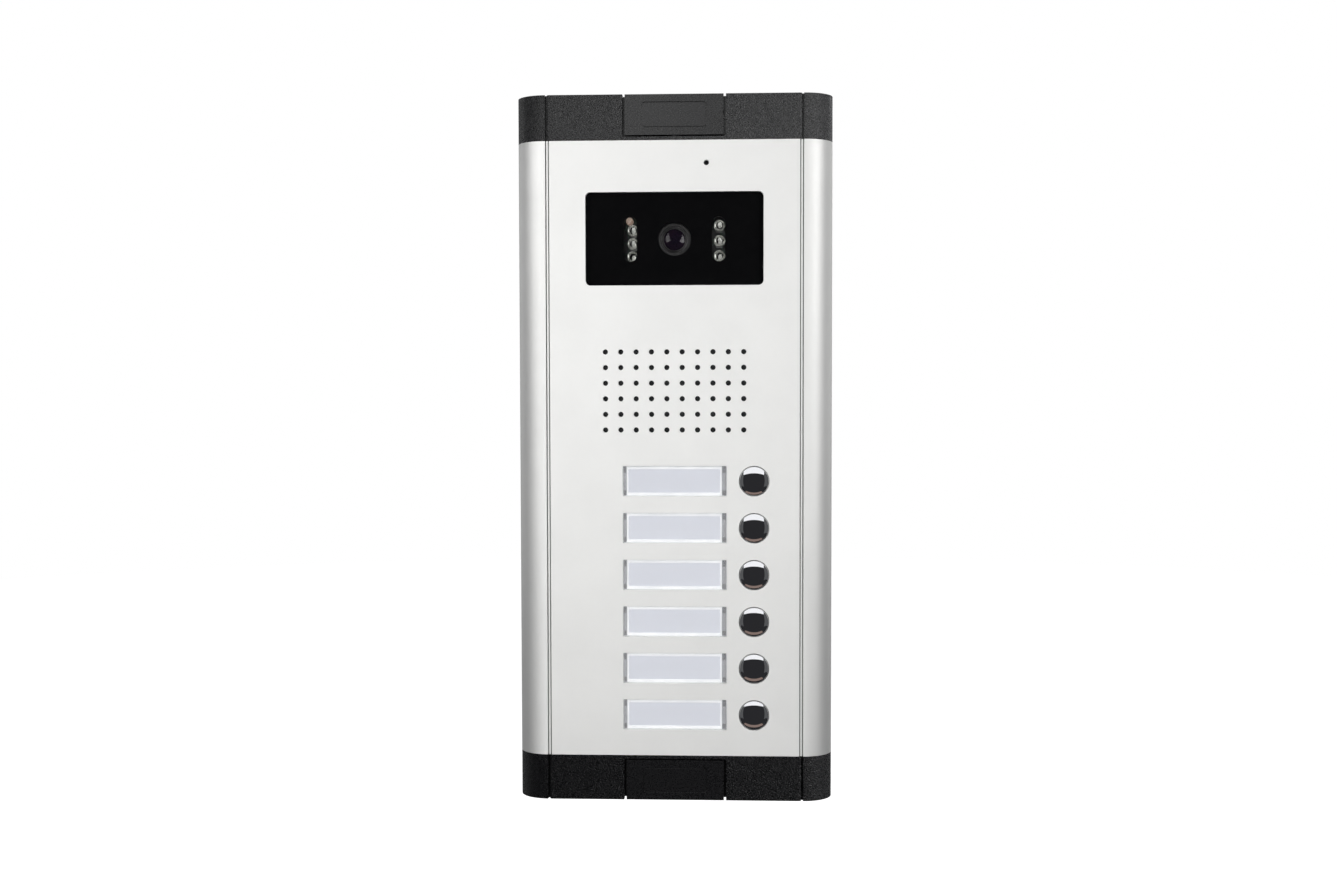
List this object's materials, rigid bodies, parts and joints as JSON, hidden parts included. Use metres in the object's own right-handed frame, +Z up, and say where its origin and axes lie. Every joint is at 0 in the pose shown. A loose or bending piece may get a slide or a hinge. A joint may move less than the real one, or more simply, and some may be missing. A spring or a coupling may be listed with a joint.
{
  "type": "door intercom panel",
  "caption": "Surface-mounted aluminium door intercom panel with camera window, speaker grille, name windows and round chrome call buttons",
  "frame": {"origin": "middle of the wall face, on the rear of the wall bracket", "axes": "+Z up, +Y into the wall, +X to the right as a visitor sees the panel; the front faces -Y"},
  "size_m": [0.13, 0.0442, 0.29],
  "materials": {
    "satin_aluminium": "satin, fine matt sprayed or anodised surface, silver-white",
    "black_abs": "fine spark-eroded texture, black",
    "black_inner_plastic": "plain moulded black",
    "chrome": "polished chrome plating",
    "zinc_steel": "bright zinc plating",
    "screw_steel": "zinc-plated screws",
    "spring_steel": "bright spring wire",
    "clear_name_window": "clear moulded polycarbonate, glossy",
    "clear_camera_pane": "clear acrylic pane, glossy",
    "black_print": "black printed film behind the pane",
    "lens_glass": "coated lens glass",
    "clear_led": "water-clear epoxy",
    "sensor_tan": "light sensor with an orange-tan face",
    "white_label": "white diffuser sheet with blank name cards",
    "green_board": "green solder mask",
    "terminal_green": "green moulded terminals",
    "rubber_boot": "soft black rubber",
    "speaker_cloth": "fine black woven cloth",
    "speaker_paper": "black pulp cone",
    "speaker_steel": "pressed steel basket and magnet cup",
    "lead_red": "red PVC wire",
    "lead_grey": "grey PVC wire"
  },
  "bodies": {
    "case": {"front_extrusion": "satin_aluminium", "top_cap": "black_abs", "bottom_cap": "black_abs", "back_cover": "black_inner_plastic", "wall_bracket": "zinc_steel", "camera_window": "clear_camera_pane", "window_mask": "black_print", "camera_housing": "black_inner_plastic", "ir_board": "green_board", "camera_board": "green_board", "lens_mount": "black_inner_plastic", "lens_barrel": "black_inner_plastic", "lens_glass": "lens_glass", "light_sensor": "sensor_tan", "mic_boot": "rubber_boot", "microphone": "speaker_steel", "speaker_mesh": "speaker_cloth", "speaker_frame": "speaker_steel", "speaker_cone": "speaker_paper", "speaker_magnet": "speaker_steel", "label_diffuser": "white_label", "button_carrier": "black_inner_plastic", "key_board": "green_board", "main_board": "green_board", "terminal_block": "terminal_green", "speaker_lead": "lead_red", "camera_lead": "lead_grey", "mic_lead": "lead_grey", "top_fixing_screw": "screw_steel", "top_cap_screw_left": "screw_steel", "top_cap_screw_right": "screw_steel", "bottom_fixing_screw": "screw_steel", "bottom_cap_screw_left": "screw_steel", "bottom_cap_screw_right": "screw_steel", "ir_led_1": "clear_led", "name_window_1": "clear_name_window", "button_spring_1": "spring_steel", "ir_led_2": "clear_led", "name_window_2": "clear_name_window", "button_spring_2": "spring_steel", "ir_led_3": "clear_led", "name_window_3": "clear_name_window", "button_spring_3": "spring_steel", "ir_led_4": "clear_led", "name_window_4": "clear_name_window", "button_spring_4": "spring_steel", "ir_led_5": "clear_led", "name_window_5": "clear_name_window", "button_spring_5": "spring_steel", "ir_led_6": "clear_led", "name_window_6": "clear_name_window", "button_spring_6": "spring_steel"},
    "button_1": {"button_1": "chrome"},
    "button_2": {"button_2": "chrome"},
    "button_3": {"button_3": "chrome"},
    "button_4": {"button_4": "chrome"},
    "button_5": {"button_5": "chrome"},
    "button_6": {"button_6": "chrome"},
    "top_screw_cover": {"top_screw_cover": "black_abs"},
    "bottom_screw_cover": {"bottom_screw_cover": "black_abs"}
  },
  "joints": [
    {"name": "button_1_press", "type": "slide", "parent": "case", "child": "button_1", "axis": [0, 1, 0], "range_m": [0, 0.0016], "stiffness_N_per_m": 600, "springref_m": -0.0015, "deforming": ["button_spring_1"]},
    {"name": "button_2_press", "type": "slide", "parent": "case", "child": "button_2", "axis": [0, 1, 0], "range_m": [0, 0.0016], "stiffness_N_per_m": 600, "springref_m": -0.0015, "deforming": ["button_spring_2"]},
    {"name": "button_3_press", "type": "slide", "parent": "case", "child": "button_3", "axis": [0, 1, 0], "range_m": [0, 0.0016], "stiffness_N_per_m": 600, "springref_m": -0.0015, "deforming": ["button_spring_3"]},
    {"name": "button_4_press", "type": "slide", "parent": "case", "child": "button_4", "axis": [0, 1, 0], "range_m": [0, 0.0016], "stiffness_N_per_m": 600, "springref_m": -0.0015, "deforming": ["button_spring_4"]},
    {"name": "button_5_press", "type": "slide", "parent": "case", "child": "button_5", "axis": [0, 1, 0], "range_m": [0, 0.0016], "stiffness_N_per_m": 600, "springref_m": -0.0015, "deforming": ["button_spring_5"]},
    {"name": "button_6_press", "type": "slide", "parent": "case", "child": "button_6", "axis": [0, 1, 0], "range_m": [0, 0.0016], "stiffness_N_per_m": 600, "springref_m": -0.0015, "deforming": ["button_spring_6"]},
    {"name": "top_cover_slide", "type": "slide", "parent": "case", "child": "top_screw_cover", "axis": [0, 0, 1], "range_m": [0, 0.0135]},
    {"name": "bottom_cover_slide", "type": "slide", "parent": "case", "child": "bottom_screw_cover", "axis": [0, 0, -1], "range_m": [0, 0.0135]}
  ]
}
